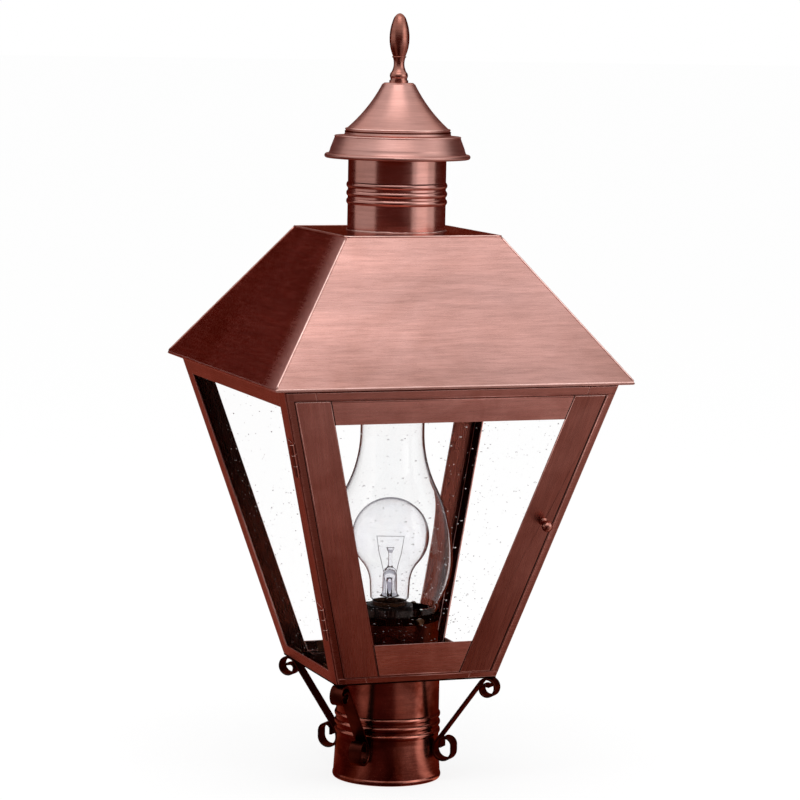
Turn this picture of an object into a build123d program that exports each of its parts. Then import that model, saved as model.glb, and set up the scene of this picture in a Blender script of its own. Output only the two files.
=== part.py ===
from build123d import *
from math import asin, atan2, cos, degrees, hypot, pi, radians, sin, sqrt, tan
import os

# Post fitter
post_diameter = 76.2
post_clearance = 0.4
sleeve_wall = 0.8
sleeve_height = 84.3
sleeve_flare = 1.5
flare_height = 30.0
hem_height = 4.0
hem_bulge = 0.6
stop_height = 72.0
stop_width = 3.5
bead_half = 2.3
bead_rise = 1.1
sleeve_bead_heights = (36.2, 42.5, 48.8)
set_screw_radius = 3.0
set_screw_height = 62.0
set_screw_azimuths = (60.0, 120.0)
set_screw_clearance = 0.05
set_screw_slot = 1.0
boss_radius = 6.0
boss_depth = 5.0

# Scroll braces
brace_width = 10.0
brace_sheet = 1.8
upper_scroll_inset = 5.7
upper_scroll_radius = 6.7
upper_scroll_second = 5.4
upper_scroll_inner = 3.0
upper_scroll_end = 80.0
brace_foot_height = 28.8
brace_bend = 10.0
lower_scroll_radius = 7.5
brace_straight = 0.6
brace_gap = 0.55
lower_scroll_rise = 4.0
lower_scroll_top = 5.8
lower_scroll_inner = 4.0
scroll_tail = 4.0

# Tapered body
floor_sheet = 1.2
body_height = 226.7
body_bottom_half = 63.2
body_top_half = 128.9
frame_sheet = 1.2
post_front_flange = 11.0
post_side_flange = 15.0
post_back_flange = 20.0
bottom_rail_height = 8.5
top_rail_height = 13.5
rail_shelf = 12.0
seam = 0.05
pane = 3.0
pane_clearance = 0.2
pane_edge = 6.0
clip_sheet = 0.8
clip_width = 10.0
clip_reach = 8.0
clip_share = 0.5

# Door
door_gap = 0.9
door_sheet = 1.0
cover_sheet = 1.0
door_edge = 0.9
door_low_clearance = 0.5
door_high_clearance = 1.5
door_side_strip = 23.0
door_top_strip = 14.0
door_bottom_strip = 21.0
cover_edge = 6.1
cover_low_edge = 5.1
cover_high_edge = 6.6
stile_width = 27.0
cover_top_rail = 17.6
cover_bottom_rail = 24.7
door_pane_edge = 0.5
door_clip_grip = 5.0
door_clip_seat = 3.0
door_clip_shares = (0.3, 0.8)

# Hinges
hinge_length = 25.6
hinge_middle_heights = (135.2, 261.9)
hinge_sheet = 0.8
hinge_barrel = 1.6
hinge_pin = 0.75
hinge_running = 0.05
hinge_standoff = 1.95
hinge_knuckle_gap = 0.4
hinge_leaf_start = 0.6
hinge_post_leaf = 9.2
hinge_door_leaf = 13.0
hinge_pin_head = 1.25
hinge_pin_head_height = 0.7

# Latch
latch_inset = 16.6
latch_height = 208.9
latch_shaft = 1.6
latch_running = 0.06
knob_foot_radius = 3.2
knob_foot = 1.2
knob_neck = 1.9
knob_head_radius = 4.2
knob_head_height = 8.6
tongue_sheet = 1.3
tongue_radius = 3.2
tongue_width = 5.1
tongue_length = 10.5
tongue_clearance = 0.5
latch_nut_across = 6.0
latch_nut_height = 1.8

# Roof and vent
roof_overhang = 8.4
roof_height = 103.3
roof_top_half = 60.7
roof_sheet = 1.0
roof_hem = 2.0
roof_soffit = 20.0
top_plate_sheet = 1.0
stack_radius = 36.8
stack_wall = 0.8
stack_height = 62.0
stack_lip = 0.6
stack_bead_heights = (21.8, 27.8, 34.0)
bridge_height = 44.0
bridge_width = 12.0
bridge_sheet = 1.5
bridge_foot = 9.0
rod_radius = 2.5
rod_clearance = 0.1
nut_across = 8.0
nut_height = 4.0
cap_rise = 54.6
cap_fall = 0.9
cap_inset = 0.6
cap_lip_radius = 1.8
cap_rim = (52.9, 1.0)
cap_flare = (50.4, 6.4)
cap_shoulder = (46.9, 15.6)
cap_step_out = (40.0, 16.9)
cap_step_in = (38.9, 20.9)
cap_cone_middle = (22.6, 38.2)
cap_cone_top = (12.4, 54.4)
cap_crown = (10.8, 55.6)
finial_foot = (7.1, 1.9)
finial_groove = (6.3, 3.4)
finial_bead = (6.8, 5.5)
finial_bead_top = (5.6, 8.0)
finial_neck = (4.1, 12.6)
finial_ring = (5.3, 19.2)
finial_ring_half = 0.6
finial_swell = (7.45, 32.4)
finial_rise = 51.6
finial_taper_turns = (0.0, 25.0, 48.0, 66.0, 80.0)
finial_socket = 15.0

# Lampholder, gallery and wiring
cup_radius = 37.4
cup_wall = 0.8
cup_height = 36.5
gallery_radius = 38.2
gallery_sheet = 1.2
gallery_rim = 5.6
gallery_rim_wall = 0.9
holder_radius = 17.8
holder_clearance = 0.3
holder_height = 46.0
holder_well = 23.0
shell_wall = 0.6
shell_clearance = 0.4
holder_tongue_radius = 5.0
holder_tongue = 0.8
holder_tongue_post = 1.5
nipple_radius = 5.0
nipple_wall = 1.0
nipple_drop = 8.8
nipple_rise = 14.0
thread_clearance = 0.05
locknut_across = 15.0
locknut_height = 3.5
bushing_bore = 3.4
bushing_flange = 6.5
bushing_flange_height = 1.8
bushing_spigot = 5.5
gallery_screw_radius = 1.2
gallery_screw_head = 2.4
gallery_screw_head_length = 3.0
gallery_screw_count = 3
gallery_screw_azimuth = -76.0
gallery_screw_running = 0.05
gallery_screw_gap = 0.4

# Glass chimney
chimney_wall = 1.3
chimney_foot_radius = 36.5
chimney_foot_height = 9.7
chimney_belly_radius = 47.4
chimney_belly_height = 43.7
chimney_neck_radius = 24.2
chimney_neck_height = 141.2
chimney_height = 192.0
chimney_belly_curve = 122.0
chimney_seat = 0.1

# Bulb
bulb_radius = 29.3
bulb_wall = 0.7
bulb_top = 214.0
bulb_neck_radius = 15.2
bulb_neck_height = 148.0
bulb_neck_foot = (14.6, 137.4)
bulb_stub_radius = 12.3
bulb_stub_height = 6.0
bulb_cap_radius = 13.0
bulb_cap_wall = 0.5
bulb_insulator_height = 4.0
bulb_contact_radius = 4.6
bulb_stem_radius = 5.7
bulb_stem_flange = 1.0
bulb_stem_top = 159.7
bulb_stem_rod = 1.3
bulb_button_height = 175.0
bulb_button = 1.9
filament_height = 184.3
filament_half = 10.4
filament_wire = 0.35
lead_wire = 0.5
lead_foot = 2.8
bulb_turn = -20.0

post_radius = post_diameter / 2
bore_radius = post_radius + post_clearance
sleeve_radius = bore_radius + sleeve_wall
body_bottom_z = sleeve_height + floor_sheet
body_top_z = body_bottom_z + body_height
lean = atan2(body_top_half - body_bottom_half, body_height)
reach = 2 * (body_top_half + roof_overhang)


def body_half(z, offset=0.0):
    """Half width of the body at a height, moved outward by a perpendicular offset."""
    rise = (z - body_bottom_z) / body_height
    return body_bottom_half + (body_top_half - body_bottom_half) * rise + offset / cos(lean)


def left_edge(inset):
    """Line on the front face that runs parallel to the left arris."""
    return lambda z: inset - body_half(z)


def right_edge(inset):
    """Line on the front face that runs parallel to the right arris."""
    return lambda z: body_half(z) - inset


def upright(x):
    """Vertical line on the front face."""
    return lambda z: x


def flat_face(points):
    """Face through a closed row of points."""
    return make_face(Polyline(*points, close=True))


def across(section, half):
    """Section in the YZ plane run out to both sides along X."""
    return extrude(section, amount=half, dir=(1, 0, 0), both=True)


def face_plate(inner, outer, z_low, z_high, left, right):
    """Leaning front sheet between two perpendicular offsets and two edge lines."""
    section = flat_face([
        (0, -body_half(z_low, inner), z_low),
        (0, -body_half(z_low, outer), z_low),
        (0, -body_half(z_high, outer), z_high),
        (0, -body_half(z_high, inner), z_high),
    ])
    outline = flat_face([
        (left(z_low), 0, z_low),
        (right(z_low), 0, z_low),
        (right(z_high), 0, z_high),
        (left(z_high), 0, z_high),
    ])
    return across(section, reach) & extrude(outline, amount=reach, dir=(0, -1, 0))


def turned(edges):
    """Solid of revolution about the lamp's axis from edges in the XZ plane."""
    return revolve(make_face(edges), Axis.Z)


def row(points):
    """Chain of straight edges through (radius, height) pairs."""
    spots = [(r, 0, z) for r, z in points]
    return [Line(a, b) for a, b in zip(spots, spots[1:])]


def arc(start, middle, end):
    """Circular edge through three (radius, height) pairs."""
    return ThreePointArc((start[0], 0, start[1]), (middle[0], 0, middle[1]), (end[0], 0, end[1]))


def polar(centre, radius, angle):
    """Point at an angle on a circle in the (radius, height) plane."""
    return (centre[0] + radius * cos(angle), centre[1] + radius * sin(angle))


def swing(centre, radius, start, end):
    """Circular edge about a centre between two angles."""
    ends = [polar(centre, radius, angle) for angle in (start, (start + end) / 2, end)]
    return arc(*ends)


def tube(inner, outer, z_low, z_high):
    """Plain ring about the lamp's axis."""
    wall = Circle(outer) - Circle(inner)
    return Pos(0, 0, z_low) * extrude(wall, amount=z_high - z_low)


def disc(radius, z_low, z_high):
    """Plain cylinder on the lamp's axis."""
    return Pos(0, 0, z_low) * extrude(Circle(radius), amount=z_high - z_low)


def beaded_wall(radius, z_low, z_high, heights):
    """Straight wall line that carries rounded beads."""
    edges = []
    z = z_low
    for middle in heights:
        low, high = (radius, middle - bead_half), (radius, middle + bead_half)
        edges += row([(radius, z), low])
        edges.append(arc(low, (radius + bead_rise, middle), high))
        z = high[1]
    return edges + row([(radius, z), (radius, z_high)])


def ribbon(pieces, sheet):
    """Face of a bent strip that follows straight and circular pieces joined smoothly."""
    def side(shift):
        edges = []
        for piece in pieces:
            if piece[0] == "line":
                start, end = piece[1:]
                length = hypot(end[0] - start[0], end[1] - start[1])
                normal = (-(end[1] - start[1]) / length, (end[0] - start[0]) / length)
                ends = [(p[0] + shift * normal[0], p[1] + shift * normal[1]) for p in (start, end)]
                edges += row(ends)
            else:
                centre, radius, start, end = piece[1:]
                turn = 1 if end > start else -1
                edges.append(swing(centre, radius - shift * turn, start, end))
        return edges
    near = side(sheet / 2)
    far = side(-sheet / 2)
    caps = [Line(near[0] @ 0, far[0] @ 0), Line(near[-1] @ 1, far[-1] @ 1)]
    return make_face(near + far + caps)


def swelling(big, neck, curve, inset, start):
    """Round belly and hollow neck that meet smoothly, moved inward by an inset."""
    drop = big[0] - neck[0]
    total = (drop**2 + (neck[1] - big[1])**2) / (2 * drop)
    belly_centre = (big[0] - curve, big[1])
    neck_centre = (neck[0] + total - curve, neck[1])
    turn = atan2(neck_centre[1] - belly_centre[1], neck_centre[0] - belly_centre[0])
    belly = swing(belly_centre, curve - inset, start, turn)
    hollow = swing(neck_centre, total - curve + inset, pi + turn, pi)
    return [belly, hollow]


def hex_nut(across_flats, bore, height):
    """Plain hexagon nut standing on its own base."""
    outline = RegularPolygon(across_flats / 2, 6, major_radius=False) - Circle(bore)
    return extrude(outline, amount=height)


def save(name, *solids):
    """Write one node's solids to its own file."""
    export_step(Compound(label=name, children=list(solids)), f"parts/{name}.step")


os.makedirs("parts", exist_ok=True)

# Sleeve with a rolled hem, three beads and an inner stop for the post's end
flare_radius = sleeve_radius + sleeve_flare
hem_radius = hem_height / 2
sleeve_outline = row([
    (bore_radius, 0),
    (flare_radius, 0),
])
sleeve_outline.append(arc(
    (flare_radius, 0),
    (flare_radius + hem_bulge, hem_radius),
    (flare_radius, hem_height),
))
sleeve_outline += row([(flare_radius, hem_height), (sleeve_radius, flare_height)])
sleeve_outline += beaded_wall(sleeve_radius, flare_height, sleeve_height, sleeve_bead_heights)
sleeve_outline += row([
    (sleeve_radius, sleeve_height),
    (bore_radius - stop_width, sleeve_height),
    (bore_radius - stop_width, stop_height),
    (bore_radius, stop_height),
    (bore_radius, 0),
])
sleeve = turned(sleeve_outline)
bosses = []
set_screws = []
for azimuth in set_screw_azimuths:
    spot = Rot(0, 0, azimuth) * Pos(0, 0, set_screw_height) * Rot(0, 90, 0)
    hole = spot * Cylinder(set_screw_radius + set_screw_clearance, 2 * reach,
                           align=(Align.CENTER, Align.CENTER, Align.MIN))
    boss = spot * Cylinder(boss_radius, sleeve_radius + boss_depth,
                           align=(Align.CENTER, Align.CENTER, Align.MIN))
    screw = spot * Pos(0, 0, bore_radius + set_screw_clearance) * Cylinder(
        set_screw_radius, boss_depth + sleeve_wall + set_screw_radius,
        align=(Align.CENTER, Align.CENTER, Align.MIN))
    slot_z = bore_radius + boss_depth + sleeve_wall + set_screw_radius
    slot = spot * Pos(0, 0, slot_z) * Box(2 * boss_radius, set_screw_slot, set_screw_radius)
    bosses.append(boss - hole - Cylinder(sleeve_radius, 2 * reach))
    set_screws.append(screw - slot)
    sleeve -= hole
save("fitter_sleeve", sleeve)
save("set_screw_bosses", *bosses)
save("set_screws", *set_screws)

# Scroll braces in the two diagonal planes
half_sheet = brace_sheet / 2
foot_flare = sleeve_flare * (flare_height - brace_foot_height) / (flare_height - hem_height)
run_reach = sleeve_radius + foot_flare + brace_gap + half_sheet
crown_z = sleeve_height - seam - half_sheet
upper_scroll_reach = sqrt(2) * body_bottom_half - upper_scroll_inset
scroll = (upper_scroll_reach, crown_z - upper_scroll_radius)
foot = (run_reach, brace_foot_height)
span = hypot(scroll[0] - foot[0], scroll[1] - foot[1])
slope = atan2(scroll[1] - foot[1], scroll[0] - foot[0]) + asin(upper_scroll_radius / span)
touch = polar(scroll, upper_scroll_radius, slope + pi / 2)
bend_length = brace_bend * tan((pi / 2 - slope) / 2)
bend_top = polar(foot, bend_length, slope)
bend_centre = (run_reach + brace_bend, foot[1] - bend_length)
second = (scroll[0], scroll[1] - upper_scroll_radius + upper_scroll_second)
inner = (second[0] - upper_scroll_second + upper_scroll_inner, second[1])
curl_turn = radians(upper_scroll_end)
curl = polar(inner, upper_scroll_inner, curl_turn)
curl_end = (curl[0] + scroll_tail * sin(curl_turn), curl[1] - scroll_tail * cos(curl_turn))
lower_scroll_z = bend_centre[1] - brace_straight
loop = (run_reach + lower_scroll_radius, lower_scroll_z)
loop_side = loop[0] + lower_scroll_radius
crest = (loop_side - lower_scroll_top, lower_scroll_z + lower_scroll_rise)
tail = (crest[0], crest[1] + lower_scroll_top - lower_scroll_inner)
tail_x = tail[0] - lower_scroll_inner
brace_path = [
    ("line", curl_end, curl),
    ("arc", inner, upper_scroll_inner, curl_turn, pi),
    ("arc", second, upper_scroll_second, pi, 3 * pi / 2),
    ("arc", scroll, upper_scroll_radius, -pi / 2, slope + pi / 2),
    ("line", touch, bend_top),
    ("arc", bend_centre, brace_bend, slope + pi / 2, pi),
    ("line", (run_reach, bend_centre[1]), (run_reach, lower_scroll_z)),
    ("arc", loop, lower_scroll_radius, pi, 2 * pi),
    ("line", (loop_side, lower_scroll_z), (loop_side, crest[1])),
    ("arc", crest, lower_scroll_top, 0, pi / 2),
    ("arc", tail, lower_scroll_inner, pi / 2, pi),
    ("line", (tail_x, tail[1]), (tail_x, tail[1] - scroll_tail)),
]
brace = extrude(ribbon(brace_path, brace_sheet), amount=brace_width / 2, dir=(0, 1, 0), both=True)
corners = {
    "front_left": (-1, -1),
    "front_right": (1, -1),
    "back_left": (-1, 1),
    "back_right": (1, 1),
}
for corner, (side_x, side_y) in corners.items():
    save(f"scroll_brace_{corner}", Rot(0, 0, degrees(atan2(side_y, side_x))) * brace)

# Floor plate, corner posts and rails of the tapered body
nipple_hole = nipple_radius + thread_clearance
floor = Box(2 * body_bottom_half, 2 * body_bottom_half, floor_sheet) - Cylinder(nipple_hole, 2 * reach)
save("floor_pan", Pos(0, 0, sleeve_height + floor_sheet / 2) * floor)


def body_block(offset):
    """Solid of the whole tapered body, moved in or out by a perpendicular offset."""
    ends = [Pos(0, 0, z) * Rectangle(2 * body_half(z, offset), 2 * body_half(z, offset))
            for z in (body_bottom_z, body_top_z)]
    return loft(ends, ruled=True)


def window(flange, spare=0.0):
    """Prism of the front face's opening, run forward from the lamp's axis."""
    edge = right_edge(flange + spare)
    z_low, z_high = body_bottom_z, body_top_z
    outline = flat_face([(-edge(z_low), 0, z_low), (edge(z_low), 0, z_low),
                         (edge(z_high), 0, z_high), (-edge(z_high), 0, z_high)])
    return extrude(outline, amount=reach, dir=(0, -1, 0))


face_flanges = {0: post_front_flange, 90: post_side_flange, 180: post_back_flange, 270: post_side_flange}
posts = body_block(0) - body_block(-frame_sheet)
for turn, flange in face_flanges.items():
    posts -= Rot(0, 0, turn) * window(flange)
for corner, (side_x, side_y) in corners.items():
    post = [s for s in posts.solids() if s.center().X * side_x > 0 and s.center().Y * side_y > 0]
    save(f"corner_post_{corner}", *post)

bottom_section = flat_face([
    (0, -body_bottom_half, body_bottom_z),
    (0, -body_half(body_bottom_z + bottom_rail_height), body_bottom_z + bottom_rail_height),
    (0, -body_half(body_bottom_z + bottom_rail_height, -frame_sheet), body_bottom_z + bottom_rail_height),
    (0, -body_half(body_bottom_z + frame_sheet, -frame_sheet), body_bottom_z + frame_sheet),
    (0, rail_shelf - body_bottom_half, body_bottom_z + frame_sheet),
    (0, rail_shelf - body_bottom_half, body_bottom_z),
])
top_section = flat_face([
    (0, -body_top_half, body_top_z),
    (0, rail_shelf - body_top_half, body_top_z),
    (0, rail_shelf - body_top_half, body_top_z - frame_sheet),
    (0, -body_half(body_top_z - frame_sheet, -frame_sheet), body_top_z - frame_sheet),
    (0, -body_half(body_top_z - top_rail_height, -frame_sheet), body_top_z - top_rail_height),
    (0, -body_half(body_top_z - top_rail_height), body_top_z - top_rail_height),
])
for name, section in (("bottom_rails", bottom_section), ("top_rails", top_section)):
    save(name, *[Rot(0, 0, turn) * (across(section, reach) & window(flange, seam))
                 for turn, flange in face_flanges.items()])

# Fixed panes and their clips
pane_face = -frame_sheet - pane_clearance
pane_low = body_bottom_z + frame_sheet + seam
pane_high = body_top_z - frame_sheet - 2 * pane_clearance
fixed_pane = face_plate(pane_face - pane, pane_face, pane_low, pane_high,
                        left_edge(pane_edge), right_edge(pane_edge))
pane_turns = {"left": -90, "right": 90, "back": 180}
for side, turn in pane_turns.items():
    save(f"glass_{side}", Rot(0, 0, turn) * fixed_pane)
clip_face = pane_face - pane - pane_clearance
shelf_low = body_bottom_z + frame_sheet
shelf_high = body_top_z - frame_sheet
clips = []
for turn in pane_turns.values():
    for share in (-clip_share, clip_share):
        for low, high in ((shelf_low, shelf_low + clip_reach), (shelf_high - clip_reach, shelf_high)):
            middle = share * body_half(low)
            clip = face_plate(clip_face - clip_sheet, clip_face, low, high,
                              upright(middle - clip_width / 2), upright(middle + clip_width / 2))
            clips.append(Rot(0, 0, turn) * clip)
save("glass_clips", *clips)

# Door of four flat strips with wide cover plates
strip_face = door_gap + door_sheet
cover_face = strip_face + cover_sheet
door_low = body_bottom_z + door_low_clearance
door_high = body_top_z - door_high_clearance
latch_x = body_half(latch_height) - latch_inset
latch_plane = Plane(
    origin=(latch_x, -body_half(latch_height), latch_height),
    x_dir=(1, 0, 0),
    z_dir=(0, -cos(lean), -sin(lean)),
)
latch_hole = latch_plane * Cylinder(latch_shaft + latch_running, reach / 4)
strip_inner = door_side_strip + seam
door_strips = [
    face_plate(door_gap, strip_face, door_low, door_high,
               left_edge(door_edge), left_edge(door_side_strip)),
    face_plate(door_gap, strip_face, door_low, door_high,
               right_edge(door_side_strip), right_edge(door_edge)) - latch_hole,
    face_plate(door_gap, strip_face, door_high - door_top_strip, door_high,
               left_edge(strip_inner), right_edge(strip_inner)),
    face_plate(door_gap, strip_face, door_low, door_low + door_bottom_strip,
               left_edge(strip_inner), right_edge(strip_inner)),
]
save("door_frame", *door_strips)

cover_low = door_low + cover_low_edge
cover_high = door_high - cover_high_edge
stile_inner = cover_edge + stile_width
cover_inner = stile_inner + seam
save("door_stile_left", face_plate(strip_face, cover_face, cover_low, cover_high,
                                   left_edge(cover_edge), left_edge(stile_inner)))
save("door_stile_right", face_plate(strip_face, cover_face, cover_low, cover_high,
                                    right_edge(stile_inner), right_edge(cover_edge)) - latch_hole)
save("door_rail_top", face_plate(strip_face, cover_face, cover_high - cover_top_rail, cover_high,
                                 left_edge(cover_inner), right_edge(cover_inner)))
save("door_rail_bottom", face_plate(strip_face, cover_face, cover_low, cover_low + cover_bottom_rail,
                                    left_edge(cover_inner), right_edge(cover_inner)))

glass_inset = door_side_strip + door_pane_edge
glass_low = door_low + door_bottom_strip + door_pane_edge
glass_high = door_high - door_top_strip - door_pane_edge
save("door_glass", face_plate(strip_face - pane, strip_face, glass_low, glass_high,
                              left_edge(glass_inset), right_edge(glass_inset)))
grip_face = strip_face - pane
door_clips = []
for share in door_clip_shares:
    low = door_low + share * (door_high - door_low)
    high = low + clip_reach
    for edge, sign in ((left_edge, 1), (right_edge, -1)):
        seat_edges = [edge(door_side_strip - door_clip_seat), edge(door_side_strip)][::sign]
        grip_edges = [edge(door_side_strip - door_clip_seat), edge(glass_inset + door_clip_grip)][::sign]
        seat = face_plate(grip_face - clip_sheet, door_gap, low, high, *seat_edges)
        grip = face_plate(grip_face - clip_sheet, grip_face, low, high, *grip_edges)
        door_clips.append(seat + grip)
save("door_glass_clips", *door_clips)

# Butt hinges on the front left arris
arris = Vector(body_bottom_half - body_top_half, body_bottom_half - body_top_half, body_height).normalized()
along_front = arris.cross(Vector(0, cos(lean), sin(lean))) * -1
along_left = Vector(along_front.Y, along_front.X, along_front.Z)
corner_angle = along_front.get_angle(along_left)
outward = radians(corner_angle / 2) + pi
barrel_x = hinge_standoff * cos(outward)
barrel_y = hinge_standoff * sin(outward)
knuckle = (hinge_length - 2 * hinge_knuckle_gap) / 3
knuckle_pitch = knuckle + hinge_knuckle_gap


def hinge_leaf(turn, thickness_low, length, knuckles):
    """Leaf whose plate lies along the local X axis after a turn, with the knuckles it carries."""
    plate = Pos(hinge_leaf_start, thickness_low) * Rectangle(
        length - hinge_leaf_start, hinge_sheet, align=(Align.MIN, Align.MIN))
    leaf = Pos(0, 0, -hinge_length / 2) * extrude(Rot(0, 0, turn) * plate, amount=hinge_length)
    link_start = Vector(barrel_x, barrel_y, 0).rotate(Axis.Z, -turn).X
    link = Pos(link_start, thickness_low) * Rectangle(
        hinge_leaf_start - link_start + hinge_sheet, hinge_sheet, align=(Align.MIN, Align.MIN))
    barrel = Pos(barrel_x, barrel_y) * Circle(hinge_barrel)
    bore = Pos(barrel_x, barrel_y) * Circle(hinge_pin + hinge_running)
    profile = Rot(0, 0, turn) * link + barrel - bore
    for index in knuckles:
        start = -hinge_length / 2 + index * knuckle_pitch
        leaf += Pos(0, 0, start) * extrude(profile, amount=knuckle)
    return leaf


post_leaf = hinge_leaf(corner_angle, 0, hinge_post_leaf, (0, 2))
door_leaf = hinge_leaf(0, -door_gap, hinge_door_leaf, (1,))
pin_half = hinge_length / 2 + seam
pin = Pos(barrel_x, barrel_y) * Cylinder(hinge_pin, 2 * pin_half)
for end in (-1, 1):
    head_z = end * (pin_half + hinge_pin_head_height / 2)
    pin += Pos(barrel_x, barrel_y, head_z) * Cylinder(hinge_pin_head, hinge_pin_head_height)
hinge_planes = [
    Plane(origin=(-body_half(z), -body_half(z), z), x_dir=along_front, z_dir=arris)
    for z in hinge_middle_heights
]
save("hinge_post_leaves", *[plane * post_leaf for plane in hinge_planes])
save("hinge_door_leaves", *[plane * door_leaf for plane in hinge_planes])
save("hinge_pins", *[plane * pin for plane in hinge_planes])

# Turning knob with a tongue that reaches behind the right post
knob_base = cover_face + seam
tongue_face = -frame_sheet - tongue_clearance
tongue_back = tongue_face - tongue_sheet
head_centre = (0, knob_base + knob_head_height)
head_turn = -asin(sqrt(1 - (knob_neck / knob_head_radius)**2))
head_joint = polar(head_centre, knob_head_radius, head_turn)
knob_edges = row([
    (0, tongue_back - latch_nut_height),
    (latch_shaft, tongue_back - latch_nut_height),
    (latch_shaft, knob_base),
    (knob_foot_radius, knob_base),
    (knob_foot_radius, knob_base + knob_foot),
    (knob_neck, knob_base + knob_foot + knob_neck / 2),
    head_joint,
])
knob_edges.append(swing(head_centre, knob_head_radius, head_turn, pi / 2))
knob_edges += row([
    (0, head_centre[1] + knob_head_radius),
    (0, tongue_back - latch_nut_height),
])
save("latch_knob", latch_plane * turned(knob_edges))
shaft_hole = Circle(latch_shaft + thread_clearance / 2)
tongue_outline = Circle(tongue_radius) + Rectangle(
    tongue_width, tongue_length, align=(Align.CENTER, Align.MAX))
tongue = Pos(0, 0, tongue_back) * extrude(tongue_outline - shaft_hole, amount=tongue_sheet)
save("latch_tongue", latch_plane * tongue)
latch_nut = Pos(0, 0, tongue_back - latch_nut_height) * hex_nut(
    latch_nut_across, latch_shaft + thread_clearance / 2, latch_nut_height)
save("latch_nut", latch_plane * latch_nut)

# Hip roof of four panels and a flat top plate
roof_half = body_top_half + roof_overhang
roof_low = body_top_z
roof_high = roof_low + roof_height
roof_run = (roof_half - roof_top_half) / (roof_height - roof_hem)
roof_depth = roof_sheet * sqrt(1 + roof_run**2)
hem_inner = roof_half + (roof_hem - roof_sheet) * roof_run - roof_depth
roof_section = flat_face([
    (0, -roof_half, roof_low),
    (0, -roof_half, roof_low + roof_hem),
    (0, -roof_top_half, roof_high),
    (0, roof_depth - roof_top_half, roof_high),
    (0, -hem_inner, roof_low + roof_sheet),
    (0, roof_soffit - roof_half, roof_low + roof_sheet),
    (0, roof_soffit - roof_half, roof_low),
])
mitre = extrude(flat_face([(0, -seam, 0), (-reach, -reach - seam, 0), (reach, -reach - seam, 0)]),
                amount=roof_high + reach)
roof_panel = across(roof_section, reach) & mitre
for side, turn in {"front": 0, "right": 90, "back": 180, "left": 270}.items():
    save(f"roof_panel_{side}", Rot(0, 0, turn) * roof_panel)

stack_low = roof_high + top_plate_sheet
stack_inner = stack_radius - stack_wall
top_plate = Rectangle(2 * roof_top_half, 2 * roof_top_half) - Circle(stack_inner - stack_lip)
save("roof_top_plate", Pos(0, 0, roof_high) * extrude(top_plate, amount=top_plate_sheet))

# Beaded vent stack with a bridge and rod that carry the cap
stack_high = stack_low + stack_height
stack_beads = [stack_low + height for height in stack_bead_heights]
stack_edges = beaded_wall(stack_radius, stack_low, stack_high, stack_beads)
stack_edges += row([
    (stack_radius, stack_high),
    (stack_inner, stack_high),
    (stack_inner, stack_low),
    (stack_radius, stack_low),
])
save("vent_stack", turned(stack_edges))

bridge_z = stack_low + bridge_height
cap_low = stack_low + cap_rise
cap_top = cap_low + cap_crown[1]
rod_low = bridge_z - nut_height - rod_radius
rod_high = cap_top + finial_socket - rod_clearance
rod_hole = disc(rod_radius + rod_clearance, rod_low, rod_high)
bridge_limit = Pos(0, 0, bridge_z) * Cylinder(stack_inner - seam, 4 * bridge_foot)
bridge_half = sqrt((stack_inner - seam)**2 - bridge_width**2 / 4)
foot_z = bridge_z - bridge_foot / 2 + bridge_sheet
bridge = Pos(0, 0, bridge_z) * Box(2 * stack_inner, bridge_width, bridge_sheet,
                                   align=(Align.CENTER, Align.CENTER, Align.MIN))
for end in (-1, 1):
    bridge += Pos(end * bridge_half, 0, foot_z) * Box(2 * bridge_sheet, bridge_width, bridge_foot)
bridge = bridge & bridge_limit
bridge -= rod_hole
save("vent_bridge", bridge)


def cap_solid(inset, fall):
    """Solid under the cap's surface, moved inward and down."""
    def moved(point):
        return (point[0] - inset, cap_low + point[1] - fall)
    rim, flare, shoulder = moved(cap_rim), moved(cap_flare), moved(cap_shoulder)
    step_out, step_in = moved(cap_step_out), moved(cap_step_in)
    middle, top, crown = moved(cap_cone_middle), moved(cap_cone_top), moved(cap_crown)
    flare_middle = ((rim[0] + 2 * flare[0]) / 3, (rim[1] + flare[1]) / 2)
    edges = row([(0, rim[1]), rim])
    edges.append(arc(rim, flare_middle, flare))
    edges += row([flare, shoulder, step_out, step_in])
    edges.append(arc(step_in, middle, top))
    edges += row([top, crown, (0, crown[1]), (0, rim[1])])
    return turned(edges)


cap = cap_solid(0, 0) - cap_solid(cap_inset, cap_fall)
cap += Pos(0, 0, cap_low + cap_rim[1]) * Torus(cap_rim[0], cap_lip_radius)
cap -= rod_hole
save("vent_cap", cap)

save("vent_rod", disc(rod_radius, rod_low, rod_high))
nut_heights = (bridge_z - nut_height, bridge_z + bridge_sheet, cap_top - cap_fall - nut_height)
save("vent_nuts", *[Pos(0, 0, z) * hex_nut(nut_across, rod_radius + thread_clearance, nut_height)
                    for z in nut_heights])


# Turned finial
def on_cap(point):
    """Point of the finial's outline above the cap's crown."""
    return (point[0], cap_top + point[1])


ring_low = on_cap((finial_ring[0] - finial_ring_half, finial_ring[1] - finial_ring_half))
ring_high = on_cap((finial_ring[0] - finial_ring_half, finial_ring[1] + finial_ring_half))
foot_high = on_cap(finial_foot)
groove = on_cap(finial_groove)
bead_top = on_cap(finial_bead_top)
swell = on_cap(finial_swell)
tip_z = cap_top + finial_rise
swell_low_middle = ((ring_high[0] + 3 * swell[0]) / 4, (ring_high[1] + swell[1]) / 2)
taper = [(swell[0] * cos(radians(turn)), swell[1] + (tip_z - swell[1]) * sin(radians(turn)))
         for turn in finial_taper_turns]
finial_edges = row([(0, cap_top), (finial_foot[0], cap_top), foot_high])
finial_edges += row([foot_high, (finial_groove[0], foot_high[1]), groove])
finial_edges.append(arc(groove, on_cap(finial_bead), bead_top))
finial_edges.append(arc(bead_top, on_cap(finial_neck), ring_low))
finial_edges.append(arc(ring_low, on_cap(finial_ring), ring_high))
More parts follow.
